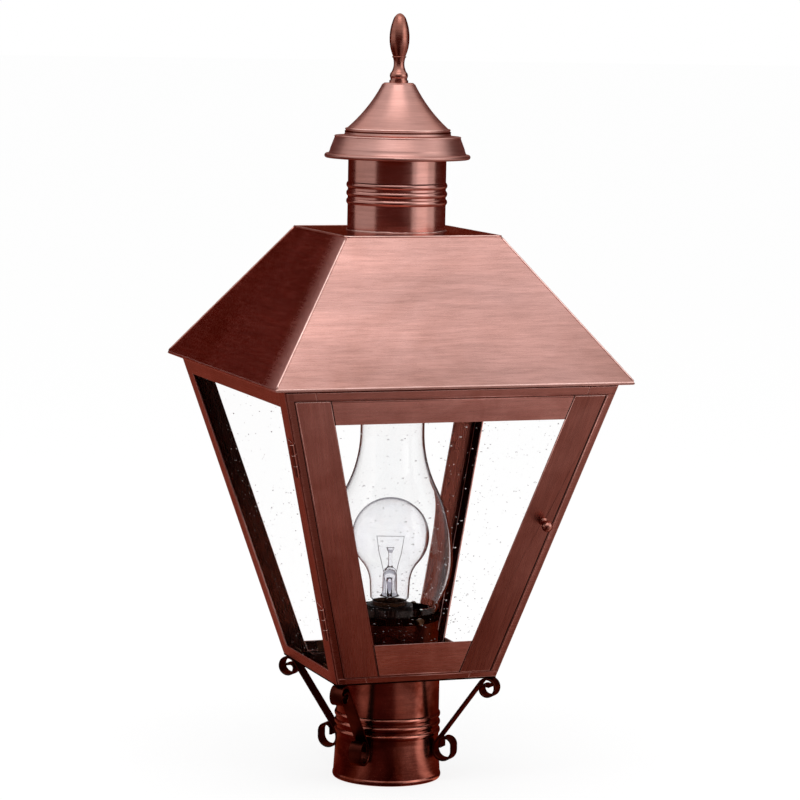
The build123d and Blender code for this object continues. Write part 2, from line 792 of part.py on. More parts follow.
finial_edges.append(arc(ring_high, swell_low_middle, swell))
finial_edges.append(arc(*taper[:3]))
finial_edges.append(arc(*taper[2:]))
finial_edges += row([taper[-1], (0, tip_z), (0, cap_top)])
finial = turned(finial_edges)
finial -= Pos(0, 0, cap_top) * Cylinder(rod_radius + thread_clearance, finial_socket,
                                        align=(Align.CENTER, Align.CENTER, Align.MIN))
save("finial", finial)

# Socket cup, lampholder and wiring inlet
cup_high = body_bottom_z + cup_height
cup_inner = cup_radius - cup_wall
cup_floor = body_bottom_z + cup_wall
cup = tube(cup_inner, cup_radius, body_bottom_z, cup_high)
cup += tube(nipple_hole, cup_radius, body_bottom_z, cup_floor)
save("socket_cup", cup)

holder_high = cup_floor + holder_height
well_low = holder_high - holder_well
shell_inner = bulb_cap_radius + shell_clearance
shell_outer = shell_inner + shell_wall
nipple_high = body_bottom_z + nipple_rise
holder = disc(holder_radius, cup_floor, holder_high)
holder -= disc(shell_outer + thread_clearance, well_low, holder_high)
holder -= disc(nipple_hole, cup_floor, nipple_high + thread_clearance)
save("lampholder_body", holder)
save("lampholder_shell", tube(shell_inner, shell_outer, well_low, holder_high - shell_wall))
tongue_high = well_low + 2 * holder_tongue
holder_contact = disc(holder_tongue_radius, well_low + holder_tongue, tongue_high)
holder_contact += disc(holder_tongue_post, well_low, tongue_high)
save("lampholder_contact", holder_contact)

nipple_low = sleeve_height - nipple_drop
nipple_inner = nipple_radius - nipple_wall
save("wiring_nipple", tube(nipple_inner, nipple_radius, nipple_low, nipple_high))
save("nipple_locknut", Pos(0, 0, sleeve_height - locknut_height) * hex_nut(
    locknut_across, nipple_hole, locknut_height))
spigot_radius = nipple_inner - thread_clearance
bushing_low = nipple_low - bushing_flange_height
bushing = tube(bushing_bore, bushing_flange, bushing_low, nipple_low)
bushing += tube(bushing_bore, spigot_radius, bushing_low, nipple_low + bushing_spigot)
save("wire_bushing", bushing)

# Gallery that the chimney stands in, with three side screws
gallery_floor = cup_high + gallery_sheet
gallery_high = cup_high + gallery_rim
gallery = tube(holder_radius + holder_clearance, gallery_radius, cup_high, gallery_floor)
gallery += tube(gallery_radius - gallery_rim_wall, gallery_radius, cup_high, gallery_high)
gallery_screws = []
screw_z = gallery_floor + (gallery_rim - gallery_sheet) / 2
screw_start = chimney_foot_radius + gallery_screw_gap
screw_length = gallery_radius - screw_start + gallery_screw_head
for index in range(gallery_screw_count):
    azimuth = gallery_screw_azimuth + index * 360 / gallery_screw_count
    spot = Rot(0, 0, azimuth) * Pos(0, 0, screw_z) * Rot(0, 90, 0)
    shaft = Cylinder(gallery_screw_radius, screw_length, align=(Align.CENTER, Align.CENTER, Align.MIN))
    head = Pos(0, 0, screw_length) * Cylinder(gallery_screw_head, gallery_screw_head_length,
                                              align=(Align.CENTER, Align.CENTER, Align.MIN))
    gallery_screws.append(spot * Pos(0, 0, screw_start) * (shaft + head))
    gallery -= spot * Cylinder(gallery_screw_radius + gallery_screw_running, 2 * gallery_radius,
                               align=(Align.CENTER, Align.CENTER, Align.MIN))
save("chimney_gallery", gallery)
save("gallery_screws", *gallery_screws)

# Glass chimney
chimney_low = gallery_floor + chimney_seat
belly = (chimney_belly_radius, chimney_low + chimney_belly_height)
neck = (chimney_neck_radius, chimney_low + chimney_neck_height)
chimney_high = chimney_low + chimney_height
belly_drop = chimney_belly_radius - chimney_foot_radius
belly_rise = chimney_belly_height - chimney_foot_height
low_curve = (belly_drop**2 + belly_rise**2) / (2 * belly_drop)
low_centre = (chimney_belly_radius - low_curve, belly[1])


def chimney_side(inset):
    """One side of the chimney's wall from the foot up to the rim."""
    foot_radius = chimney_foot_radius - inset
    low_turn = -asin(sqrt(1 - ((foot_radius - low_centre[0]) / (low_curve - inset))**2))
    start = polar(low_centre, low_curve - inset, low_turn)
    edges = row([(foot_radius, chimney_low), start])
    edges.append(swing(low_centre, low_curve - inset, low_turn, 0))
    edges += swelling(belly, neck, chimney_belly_curve, inset, 0)
    neck_radius = chimney_neck_radius - inset
    return edges + row([(neck_radius, neck[1]), (neck_radius, chimney_high)])


chimney_caps = [
    Line((chimney_foot_radius - chimney_wall, 0, chimney_low), (chimney_foot_radius, 0, chimney_low)),
    Line((chimney_neck_radius - chimney_wall, 0, chimney_high), (chimney_neck_radius, 0, chimney_high)),
]
save("glass_chimney", turned(chimney_side(0) + chimney_side(chimney_wall) + chimney_caps))

# Clear bulb with its cap, stem, leads and filament
bulb_belly = (bulb_radius, bulb_top - bulb_radius)
stub_high = bulb_neck_foot[1] - (bulb_neck_foot[0] - bulb_stub_radius)
stub_low = bulb_neck_foot[1] - bulb_stub_height


def bulb_side(inset):
    """One side of the bulb's wall from the crown down to the open end of its neck."""
    edges = swelling(bulb_belly, (bulb_neck_radius, bulb_neck_height), bulb_radius, inset, pi / 2)
    return edges + row([
        (bulb_neck_radius - inset, bulb_neck_height),
        (bulb_neck_foot[0] - inset, bulb_neck_foot[1]),
        (bulb_stub_radius - inset, stub_high),
        (bulb_stub_radius - inset, stub_low),
    ])


bulb_caps = [
    Line((0, 0, bulb_top), (0, 0, bulb_top - bulb_wall)),
    Line((bulb_stub_radius, 0, stub_low), (bulb_stub_radius - bulb_wall, 0, stub_low)),
]
save("bulb_envelope", turned(bulb_side(0) + bulb_side(bulb_wall) + bulb_caps))

cap_high = stub_high
cap_foot = well_low + 3 * holder_tongue + bulb_insulator_height
save("bulb_cap", tube(bulb_cap_radius - bulb_cap_wall, bulb_cap_radius, cap_foot, cap_high))
contact_high = cap_foot - bulb_insulator_height
insulator = turned(row([
    (0, contact_high),
    (bulb_contact_radius, contact_high),
    (bulb_cap_radius, cap_foot),
    (0, cap_foot),
    (0, contact_high),
]))
save("bulb_insulator", insulator)
save("bulb_contact", disc(bulb_contact_radius, contact_high - holder_tongue + seam, contact_high))

stem_profile = row([
    (0, stub_low),
    (bulb_stub_radius - bulb_wall - seam, stub_low),
    (bulb_stub_radius - bulb_wall - seam, stub_low + bulb_stem_flange),
    (bulb_stem_radius, stub_low + bulb_stem_radius),
    (bulb_stem_radius, bulb_stem_top),
    (bulb_stem_rod, bulb_stem_top),
    (bulb_stem_rod, bulb_button_height),
    (bulb_button, bulb_button_height),
    (bulb_button, bulb_button_height + bulb_button),
    (0, bulb_button_height + bulb_button),
    (0, stub_low),
])
bulb_place = Rot(0, 0, bulb_turn)
save("bulb_stem", turned(stem_profile))
leads = []
lead_top = filament_height - filament_wire - lead_wire
for side in (-1, 1):
    path = Line((side * lead_foot, 0, bulb_stem_top + lead_wire), (side * filament_half, 0, lead_top))
    lead = sweep(Plane(origin=path @ 0, z_dir=path % 0) * Circle(lead_wire), path=path)
    leads.append(bulb_place * lead)
save("bulb_leads", *leads)
filament = Pos(0, 0, filament_height) * Rot(0, 90, 0) * Cylinder(filament_wire, 2 * filament_half)
save("bulb_filament", bulb_place * filament)
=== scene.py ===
"""Looks of the post lamp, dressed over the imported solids."""

import math
import random

import bpy
from mathutils import Matrix, Vector


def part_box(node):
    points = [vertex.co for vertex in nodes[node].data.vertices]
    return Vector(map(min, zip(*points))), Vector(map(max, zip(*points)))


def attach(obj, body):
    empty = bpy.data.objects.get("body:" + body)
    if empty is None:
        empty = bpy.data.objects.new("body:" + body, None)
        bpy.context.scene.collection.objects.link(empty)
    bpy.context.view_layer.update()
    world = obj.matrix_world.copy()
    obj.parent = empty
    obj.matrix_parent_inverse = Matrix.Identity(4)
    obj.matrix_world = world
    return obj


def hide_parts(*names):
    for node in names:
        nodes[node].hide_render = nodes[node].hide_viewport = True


MM = 0.001
WHITE = (1.0, 1.0, 1.0)

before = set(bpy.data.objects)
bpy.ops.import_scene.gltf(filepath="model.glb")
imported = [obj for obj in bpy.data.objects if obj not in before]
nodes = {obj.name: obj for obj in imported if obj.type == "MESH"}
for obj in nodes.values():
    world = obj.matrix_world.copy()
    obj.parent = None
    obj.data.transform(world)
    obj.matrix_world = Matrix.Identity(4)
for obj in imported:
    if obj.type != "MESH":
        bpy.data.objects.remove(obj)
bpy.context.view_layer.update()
scene = bpy.context.scene
chance = random.Random(11)

# Numbers of a Mix node's colour sockets, whose names are shared with its other sockets
MIX_FACTOR, MIX_FIRST, MIX_SECOND, MIX_RESULT = 0, 6, 7, 2


def box_mm(name):
    """Lowest and highest corners of a solid, in millimetres."""
    return [Vector(corner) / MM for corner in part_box(name)]


# The tapered body, in millimetres: its posts lean out with its faces, and so do its bottom rails
post_low, post_high = box_mm("corner_post_front_left")
_, rails_high = box_mm("bottom_rails")
body_low, body_high, half_high = post_low.z, post_high.z, -post_low.x
half_gain = (half_high - rails_high.x) / (body_high - rails_high.z)
half_low = half_high - half_gain * (body_high - body_low)
lean = math.atan(half_gain)


def body_half(z, offset=0.0):
    """Half width of the tapered body at a height, moved out by a perpendicular offset."""
    return half_low + half_gain * (z - body_low) + offset / math.cos(lean)


# The roof above its drip edge, the stack inside its beads, and the rim of the vent cap
drip_edge, stack_bead = 2.0, 1.1
panel_low, _ = box_mm("roof_panel_front")
plate_low, plate_high = box_mm("roof_top_plate")
stack_foot, stack_top = box_mm("vent_stack")
cap_low, cap_high = box_mm("vent_cap")
roof_low, roof_high = panel_low.z + drip_edge, plate_low.z
roof_half, roof_top_half = -panel_low.y, plate_high.x
stack_radius, stack_low = stack_top.x - stack_bead, stack_foot.z
rim_radius, rim_low = cap_high.x, cap_low.z

# The door's cover plates and strips: heights, insets from the arris, and how far they stand off the body
strip_low, strip_high = box_mm("door_frame")
stile_low, stile_high = box_mm("door_stile_left")
_, low_rail_high = box_mm("door_rail_bottom")
top_rail_low, _ = box_mm("door_rail_top")
cover_low, cover_high = stile_low.z, stile_high.z
rail_low_top, rail_high_bottom = low_rail_high.z, top_rail_low.z
cover_inset = body_half(cover_high) + stile_low.x
stile_inner = body_half(cover_low) + stile_high.x
cover_face = (-stile_low.y - body_half(cover_high)) * math.cos(lean)
strip_face = (-strip_low.y - body_half(strip_high.z)) * math.cos(lean)


class Tree:
    """Shader nodes of one material or world."""

    def __init__(self, name, owner=None):
        self.owner = owner or bpy.data.materials.new(name)
        self.owner.use_nodes = True
        self.nodes = self.owner.node_tree.nodes
        self.links = self.owner.node_tree.links
        self.nodes.clear()

    def add(self, kind, inputs=(), **settings):
        """New node with its settings, and its inputs set or linked by name or number."""
        node = self.nodes.new("ShaderNode" + kind)
        for key, value in settings.items():
            setattr(node, key, value)
        for key, value in dict(inputs).items():
            if isinstance(value, bpy.types.NodeSocket):
                self.links.new(value, node.inputs[key])
            else:
                node.inputs[key].default_value = value
        return node

    def place(self):
        """Coordinates in the object's own frame, in metres."""
        return self.add("TexCoord").outputs["Object"]

    def axes(self):
        """The three coordinates, each by itself."""
        return self.add("SeparateXYZ", {"Vector": self.place()}).outputs

    def plumb_place(self):
        """Coordinates in which the tapered body's arrises stand plumb."""
        x, y, z = self.axes()
        scale = self.math("DIVIDE", 0.5 * (half_low + half_high) * MM, self.face_half(z))
        x, y = self.math("MULTIPLY", x, scale), self.math("MULTIPLY", y, scale)
        return self.add("CombineXYZ", {"X": x, "Y": y, "Z": z}).outputs[0]

    def noise(self, stretch, detail=4.0, roughness=0.55, distortion=0.0, plumb=False):
        """Noise with so many features to the metre along each axis."""
        place = self.plumb_place() if plumb else self.place()
        mapping = self.add("Mapping", {"Vector": place, "Scale": stretch})
        return self.add("TexNoise", {
            "Vector": mapping.outputs[0], "Scale": 1.0, "Detail": detail,
            "Roughness": roughness, "Distortion": distortion,
        }).outputs["Fac"]

    def spread(self, factor, low, high, start=0.3, end=0.7):
        """Factor between start and end, stretched to run from low to high."""
        return self.add("MapRange", {
            "Value": factor, "From Min": start, "From Max": end, "To Min": low, "To Max": high,
        }).outputs[0]

    def blend(self, factor, first, second, mode="MIX"):
        """Mix of two colours."""
        first, second = ((*c, 1.0) if isinstance(c, tuple) else c for c in (first, second))
        inputs = {MIX_FACTOR: factor, MIX_FIRST: first, MIX_SECOND: second}
        return self.add("Mix", inputs, data_type="RGBA", blend_type=mode).outputs[MIX_RESULT]

    def shade(self, colour, light):
        """Colour made lighter or darker by a factor."""
        tint = self.add("CombineColor", {"Red": light, "Green": light, "Blue": light}).outputs[0]
        return self.blend(1.0, colour, tint, "MULTIPLY")

    def mottle(self, size, detail, dark, base):
        """Colour that drifts between a dark tone and a base tone in patches."""
        patch = self.noise((size, size, size), detail)
        return self.blend(self.spread(patch, 0.0, 1.0), dark, base)

    def bump(self, height, strength, distance, before=None):
        """Bump from a height, on top of an earlier one."""
        inputs = {"Height": height, "Strength": strength, "Distance": distance}
        if before is not None:
            inputs["Normal"] = before
        return self.add("Bump", inputs).outputs[0]

    def math(self, operation, *values, clamp=False):
        """Result of one sum."""
        return self.add("Math", dict(enumerate(values)), operation=operation, use_clamp=clamp).outputs[0]

    def face_half(self, z):
        """Half width of the tapered body, in metres, at a height."""
        return self.math("MULTIPLY_ADD", z, half_gain, (half_low - half_gain * body_low) * MM)

    def inner_side(self):
        """One on faces that lie inside the tapered body's own face planes, where shade is painted."""
        x, y, z = self.axes()
        across = self.math("MAXIMUM", self.math("ABSOLUTE", x), self.math("ABSOLUTE", y))
        depth = self.math("SUBTRACT", self.face_half(z), across)
        skin, sheet = 0.5 * MM, 0.9 * MM
        return self.spread(depth, 0.0, 1.0, skin, sheet)

    def beside_stiles(self):
        """One where shade is painted: on the strip beside the hinge stile, and on the outer part of the
        strip across from it.
        """
        x, _, z = self.axes()
        left_start, left_end = 2.0 * MM, (cover_inset + 0.4) * MM
        right_start, right_end = -1.0 * MM, 4.0 * MM
        fade_in, fade_out = 0.5 * MM, 0.3 * MM
        inset = self.math("SUBTRACT", self.face_half(z), self.math("ABSOLUTE", x))
        start = self.spread(x, left_start, right_start, -MM, MM)
        end = self.spread(x, left_end, right_end, -MM, MM)
        entry = self.spread(self.math("SUBTRACT", inset, start), 0.0, 1.0, 0.0, fade_in)
        leaving = self.spread(self.math("SUBTRACT", end, inset), 0.0, 1.0, 0.0, fade_out)
        return self.math("MULTIPLY", entry, leaving)

    def beside_hip(self, width):
        """One along the roof's front hips, where a sheen is painted, fading out over a width across the side
        panels.
        """
        x, y, _ = self.axes()
        return self.spread(self.math("ADD", self.math("ABSOLUTE", x), y), 1.0, 0.0, 0.0, width * MM)

    def surface(self, shader):
        """Ends the tree with its shader."""
        output = self.add("OutputMaterial")
        self.links.new(shader, output.inputs["Surface"])
        return self.owner


copper_glint = (0.9, 0.5, 0.42, 1.0)
# Width of the painted sheen along the roof's front hips, and the roughness it adds there
hip_sheen_width, hip_sheen_roughness = 34.0, 0.22


def copper(name, base, dark, rough, patina=26.0, patches=(0.35, 0.75), dents=0.15, streaks=0.1, sweep=0.12,
           grain="level", inside=None, beside=None, hip_sheen=None, rise=None):
    """Brushed antique copper: streaks, broad sweeps, patches of darker patina and faint dents.

    Where their colours are given, painted shade darkens faces on the inner side of the tapered body
    and the strips beside the stiles, and a painted sheen lightens the sheets along the front hips.
    A rise paints light and shade on the sheet, darker at the foot of the roof and lighter at its top."""
    tree = Tree(name)

    def lines(along, across, detail):
        """Grain with so many features to the metre along it and across it."""
        if grain == "upright":
            return tree.noise((across, across, along), detail, 0.6, plumb=True)
        return tree.noise((along, along, across), detail, 0.6)

    streak = lines(24.0, 430.0, 4.0)
    hair = lines(60.0, 1500.0, 3.0)
    broad = lines(5.0, 45.0, 5.0)
    patch = tree.noise((patina, patina, patina), 7.0, 0.62, 0.5)
    sheet = tree.noise((9.0, 9.0, 9.0), 2.0, 0.5)
    colour = tree.blend(tree.spread(patch, 0.0, 1.0, *patches), dark, base)
    for pattern, depth in ((streak, streaks), (hair, 0.7 * streaks), (broad, sweep)):
        colour = tree.shade(colour, tree.spread(pattern, 1.0 - depth, 1.0 + depth))
    # Painted shade on faces on the inner side of the tapered body
    if inside:
        colour = tree.blend(tree.inner_side(), colour, inside)
    # Painted shade on the strips beside the stiles
    if beside:
        colour = tree.blend(tree.beside_stiles(), colour, beside)
    roughness = tree.spread(hair, rough - 0.04, rough + 0.05)
    # Painted sheen along the front hips: the colour lightens there, and the roughness rises
    if hip_sheen:
        near_hip = tree.beside_hip(hip_sheen_width)
        colour = tree.blend(near_hip, colour, hip_sheen)
        roughness = tree.math("ADD", roughness, tree.math("MULTIPLY", near_hip, hip_sheen_roughness))
    # Painted light and shade: the sheet darker at the foot of the roof and lighter at its top
    if rise:
        height = tree.axes()["Z"]
        colour = tree.shade(colour, tree.spread(height, *rise, roof_low * MM, roof_high * MM))
    normal = tree.bump(sheet, dents, 0.002)
    normal = tree.bump(streak, 0.1, 0.0002, normal)
    normal = tree.bump(hair, 0.06, 0.0001, normal)
    shader = tree.add("BsdfPrincipled", {
        "Base Color": colour, "Metallic": 1.0, "Roughness": roughness,
        "Normal": normal, "Specular Tint": copper_glint,
    })
    return tree.surface(shader.outputs[0])


def plain_metal(name, base, dark, rough):
    """Small metal fittings with fine grain and slight tarnish."""
    tree = Tree(name)
    fine = tree.noise((900.0, 900.0, 900.0), 3.0)
    shader = tree.add("BsdfPrincipled", {
        "Base Color": tree.mottle(60.0, 5.0, dark, base), "Metallic": 1.0,
        "Roughness": tree.spread(fine, rough - 0.06, rough + 0.08),
        "Normal": tree.bump(fine, 0.1, 0.0001),
    })
    return tree.surface(shader.outputs[0])


def moulded(name, base, dark, rough, specular=0.5):
    """Ceramic, plastic or black painted shade, with faint mottling."""
    tree = Tree(name)
    fine = tree.noise((500.0, 500.0, 500.0), 4.0)
    shader = tree.add("BsdfPrincipled", {
        "Base Color": tree.mottle(70.0, 4.0, dark, base),
        "Roughness": tree.spread(fine, rough - 0.05, rough + 0.05),
        "Normal": tree.bump(fine, 0.05, 0.0002), "Specular IOR Level": specular,
    })
    return tree.surface(shader.outputs[0])


# Share of the way from face on to edge on where painted shade starts to darken turned glass, and where it
# ends
edge_shade_start, edge_shade_end = 0.66, 0.98


def glass(name, tint, ior, wave, wave_size, edge=None, coat=0.0):
    """Clear glass with a slight wave, which lets the lamps' light through.

    Turned glass takes painted shade, darkening to an edge colour where it is seen along its wall."""
    tree = Tree(name)
    swell = tree.noise((wave_size, wave_size, wave_size * 0.6), 2.0, 0.4)
    colour = tree.mottle(35.0, 4.0, tint, WHITE)
    if edge:
        facing = tree.add("LayerWeight", {"Blend": 0.5}).outputs["Facing"]
        colour = tree.blend(tree.spread(facing, 0.0, 1.0, edge_shade_start, edge_shade_end), colour, edge)
    shader = tree.add("BsdfPrincipled", {
        "Base Color": colour, "Roughness": 0.0, "IOR": ior, "Transmission Weight": 1.0,
        "Normal": tree.bump(swell, wave, 0.002), "Coat Weight": coat, "Coat Roughness": 0.02,
    })
    clear = tree.add("BsdfTransparent")
    shadow = tree.add("LightPath").outputs["Is Shadow Ray"]
    mix = tree.add("MixShader", {0: shadow, 1: shader.outputs[0], 2: clear.outputs[0]})
    return tree.surface(mix.outputs[0])


# Sheet copper: base colour, colour of its patina and roughness
brushed = 0.28
upright = {"rough": brushed, "grain": "upright"}
# Painted shade: colours of the body's inner faces, a deeper one for the shadiest, and of the strips beside
# the stiles
inner_face_shade = (0.10, 0.026, 0.018)
deep_inner_face_shade = (0.035, 0.006, 0.003)
strip_shade = (0.36, 0.145, 0.115)
# The front roof takes painted light and shade from the foot of the roof to its top
roof_copper = copper("roof_copper", (0.60, 0.335, 0.30), (0.43, 0.215, 0.18), brushed, patina=9.0,
                     patches=(0.3, 0.7), sweep=0.2, rise=(0.86, 1.18))
# The side roof panels take a painted sheen along the front hips
side_roof_copper = copper("side_roof_copper", (0.58, 0.27, 0.225), (0.40, 0.14, 0.10), 0.21, patina=12.0,
                          patches=(0.3, 0.7), streaks=0.16, sweep=0.14, hip_sheen=(0.86, 0.50, 0.45))
plate_copper = copper("plate_copper", (0.50, 0.19, 0.145), (0.36, 0.12, 0.085), 0.2, patina=30.0)
left_stile_copper = copper("left_stile_copper", (0.62, 0.315, 0.275), (0.46, 0.195, 0.16), **upright)
# Painted shade: the right stile and the hinge leaves take a darker copy of the stile copper
shaded_right_stile_copper = copper("shaded_right_stile_copper", (0.41, 0.18, 0.148), (0.30, 0.11, 0.085), **upright)
# The door frame takes painted shade on its strips beside the stiles
frame_copper = copper("frame_copper", (0.54, 0.25, 0.215), (0.40, 0.165, 0.13), brushed, beside=strip_shade)
# Painted light: the door rails are lighter copies of the door copper, the bottom rail the lightest
lit_top_rail_copper = copper("lit_top_rail_copper", (0.78, 0.42, 0.37), (0.56, 0.26, 0.22), brushed)
lit_low_rail_copper = copper("lit_low_rail_copper", (0.90, 0.56, 0.51), (0.62, 0.31, 0.27), brushed)
# Painted shade on the inner faces of the back right post
post_copper = copper("post_copper", (0.60, 0.295, 0.255), (0.45, 0.195, 0.16), **upright,
                     inside=inner_face_shade)
# Painted shade, deeper, on the inner faces of the left posts
shaded_post_copper = copper("shaded_post_copper", (0.60, 0.295, 0.255), (0.45, 0.195, 0.16), **upright,
                            inside=deep_inner_face_shade)
# Painted shade: the front right post is a darker copy of the post copper, with deeper shade on its inner
# faces
shaded_arris_post_copper = copper("shaded_arris_post_copper", (0.34, 0.14, 0.115), (0.24, 0.085, 0.065), **upright,
                           inside=deep_inner_face_shade)
# Painted shade, deeper, on the inner faces of the rails
rails_copper = copper("rails_copper", (0.60, 0.29, 0.25), (0.45, 0.195, 0.16), brushed, inside=deep_inner_face_shade)
brace_copper = copper("brace_copper", (0.11, 0.022, 0.014), (0.03, 0.005, 0.003), 0.3, patina=60.0)

# Turned copper, and what shows at edges and joints
stack_copper = copper("stack_copper", (0.54, 0.28, 0.245), (0.42, 0.195, 0.16), 0.2, patina=14.0, dents=0.1)
cap_copper = copper("cap_copper", (0.55, 0.305, 0.27), (0.46, 0.235, 0.20), 0.36, patina=14.0, dents=0.1)
finial_copper = copper("finial_copper", (0.46, 0.215, 0.175), (0.30, 0.11, 0.08), 0.26, patina=60.0)
fitter_copper = copper("fitter_copper", (0.50, 0.19, 0.145), (0.14, 0.026, 0.014), 0.2, patina=30.0,
                       patches=(0.38, 0.66), dents=0.3)
# Painted shade: darkened copper for the socket cup inside the lantern and the groove under the cap's bead
shaded_copper = copper("shaded_copper", (0.12, 0.026, 0.016), (0.06, 0.010, 0.006), 0.3, patina=40.0, dents=0.3)
# Pale copper for edges and beads: partly wear, partly painted highlight
edge_wear_and_sheen = copper("edge_wear_and_sheen", (0.86, 0.58, 0.53), (0.68, 0.40, 0.35), 0.34, patina=60.0)
# Pale copper for lines along the door's cover plates: partly wear, partly painted highlight
edge_rub_and_sheen = copper("edge_rub_and_sheen", (0.60, 0.34, 0.30), (0.40, 0.18, 0.15), 0.36, patina=60.0)
# Painted shadow for the gaps round the door's cover plates
painted_gap_shadow = moulded("painted_gap_shadow", (0.014, 0.004, 0.003), (0.006, 0.002, 0.001), 0.7, specular=0.1)
# Painted shade: near black for the floor pan and chimney gallery inside the lantern
interior_shade_black = moulded("interior_shade_black", (0.009, 0.0016, 0.0008), (0.005, 0.0008, 0.0004), 0.75, specular=0.0)
solder = plain_metal("solder", (0.66, 0.46, 0.42), (0.40, 0.22, 0.19), 0.30)

# Fittings
zinc_steel = plain_metal("zinc_steel", (0.50, 0.50, 0.48), (0.36, 0.36, 0.35), 0.34)
plain_brass = plain_metal("plain_brass", (0.60, 0.42, 0.20), (0.42, 0.27, 0.12), 0.28)
dull_brass = plain_metal("dull_brass", (0.22, 0.13, 0.07), (0.12, 0.06, 0.03), 0.34)
# Painted shade: the lampholder shell and bulb cap darkened inside the lantern
shaded_brass = plain_metal("shaded_brass", (0.09, 0.045, 0.025), (0.04, 0.018, 0.01), 0.4)
wire_metal = plain_metal("wire_metal", (0.46, 0.45, 0.48), (0.34, 0.33, 0.36), 0.35)
filament_metal = plain_metal("filament_metal", (0.52, 0.52, 0.56), (0.40, 0.40, 0.44), 0.45)
# Painted shade: the porcelain lampholder body made near black inside the lantern
porcelain = moulded("porcelain", (0.018, 0.008, 0.005), (0.008, 0.003, 0.002), 0.5, specular=0.1)
black_moulding = moulded("black_moulding", (0.02, 0.02, 0.02), (0.012, 0.012, 0.012), 0.35)

# Glass: tint, index of refraction, wave and the wave's features to the metre. The indices are low, so that
# thin walls look as clear as in the photograph, and a bubble's is lower than its pane's
seeded_glass = glass("seeded_glass", (0.998, 0.998, 0.998), 1.015, 0.04, 18.0)
# Chimney, bulb and stem: the last colour is painted shade where the glass is seen along its wall
chimney_glass = glass("chimney_glass", (0.985, 0.987, 0.99), 1.08, 0.01, 30.0, (0.30, 0.30, 0.33), 0.4)
bulb_glass = glass("bulb_glass", (0.968, 0.966, 0.985), 1.1, 0.01, 30.0, (0.30, 0.30, 0.36), 0.4)
stem_glass = glass("stem_glass", (0.88, 0.87, 0.91), 1.25, 0.02, 60.0, (0.03, 0.03, 0.04))
seed_glass = glass("seed_glass", (0.97, 0.97, 0.96), 0.88, 0.0, 30.0)

corners = ("front_left", "front_right", "back_left", "back_right")
sheet_nodes = {
    roof_copper: ["roof_panel_front"],
    side_roof_copper: ["roof_panel_right", "roof_panel_back", "roof_panel_left"],
    plate_copper: ["roof_top_plate"],
    left_stile_copper: ["door_stile_left"],
    shaded_right_stile_copper: ["door_stile_right", "hinge_post_leaves", "hinge_door_leaves"],
    frame_copper: ["door_frame"],
    lit_top_rail_copper: ["door_rail_top"],
    lit_low_rail_copper: ["door_rail_bottom"],
    post_copper: ["corner_post_back_right"],
    shaded_arris_post_copper: ["corner_post_front_right"],
    shaded_post_copper: ["corner_post_front_left", "corner_post_back_left"],
    rails_copper: ["bottom_rails", "top_rails"],
    brace_copper: [f"scroll_brace_{corner}" for corner in corners],
    interior_shade_black: ["floor_pan"],
}
whole_nodes = {
    stack_copper: ["vent_stack"],
    cap_copper: ["vent_cap"],
    finial_copper: ["finial", "latch_knob", "hinge_pins"],
    fitter_copper: ["fitter_sleeve", "set_screw_bosses"],
    shaded_copper: ["socket_cup"],
    interior_shade_black: ["chimney_gallery"],
    zinc_steel: ["set_screws", "vent_rod", "vent_nuts", "vent_bridge", "latch_nut", "nipple_locknut",
                 "wiring_nipple"],
    plain_brass: ["lampholder_contact", "latch_tongue", "bulb_contact"],
    dull_brass: ["gallery_screws", "glass_clips", "door_glass_clips"],
    shaded_brass: ["lampholder_shell", "bulb_cap"],
    porcelain: ["lampholder_body"],
    black_moulding: ["wire_bushing", "bulb_insulator"],
    wire_metal: ["bulb_leads"],
    filament_metal: ["bulb_filament"],
    seeded_glass: ["glass_left", "glass_right", "glass_back", "door_glass"],
    chimney_glass: ["glass_chimney"],
    bulb_glass: ["bulb_envelope", "bulb_stem"],
}
dull_edges = (brace_copper, interior_shade_black)
edge_width = 0.42
weld_reach = 1e-6


def weld(obj):
    """Joins points that lie on each other."""
    obj.modifiers.new("weld", "WELD").merge_threshold = weld_reach


def round_edges(obj, width, slot_number):
    """Rounds the sharp edges of a sheet piece; the rounding takes the material of one slot."""
    weld(obj)
    bevel = obj.modifiers.new("bevel", "BEVEL")
    bevel.width = width
    bevel.segments = 2
    bevel.limit_method = "ANGLE"
    bevel.angle_limit = math.radians(32.0)
    bevel.material = slot_number
    normals = obj.modifiers.new("normals", "WEIGHTED_NORMAL")
    normals.weight = 50


def dress(obj, *materials):
    """Gives a solid its materials."""
    slots = obj.data.materials
    slots.clear()
    for material in materials:
        slots.append(material)


# Sheet pieces' rounded edges take pale edge copper, partly wear and partly painted highlight, except pieces
# whose edges stay dull
for material, names in sheet_nodes.items():
    for name in names:
        dress(nodes[name], material, edge_wear_and_sheen)
        round_edges(nodes[name], edge_width * MM, 0 if material in dull_edges else 1)
for material, names in whole_nodes.items():
    for name in names:
        dress(nodes[name], material)


def piece(name, points, faces, body, material):
    """New smooth mesh piece from points in millimetres, which rides on a body."""
    mesh = bpy.data.meshes.new(name)
    mesh.from_pydata([Vector(p) * MM for p in points], [], faces)
    mesh.update()
    for polygon in mesh.polygons:
        polygon.use_smooth = True
    mesh.materials.append(material)
    obj = bpy.data.objects.new(name, mesh)
    scene.collection.objects.link(obj)
    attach(obj, body)
    return obj


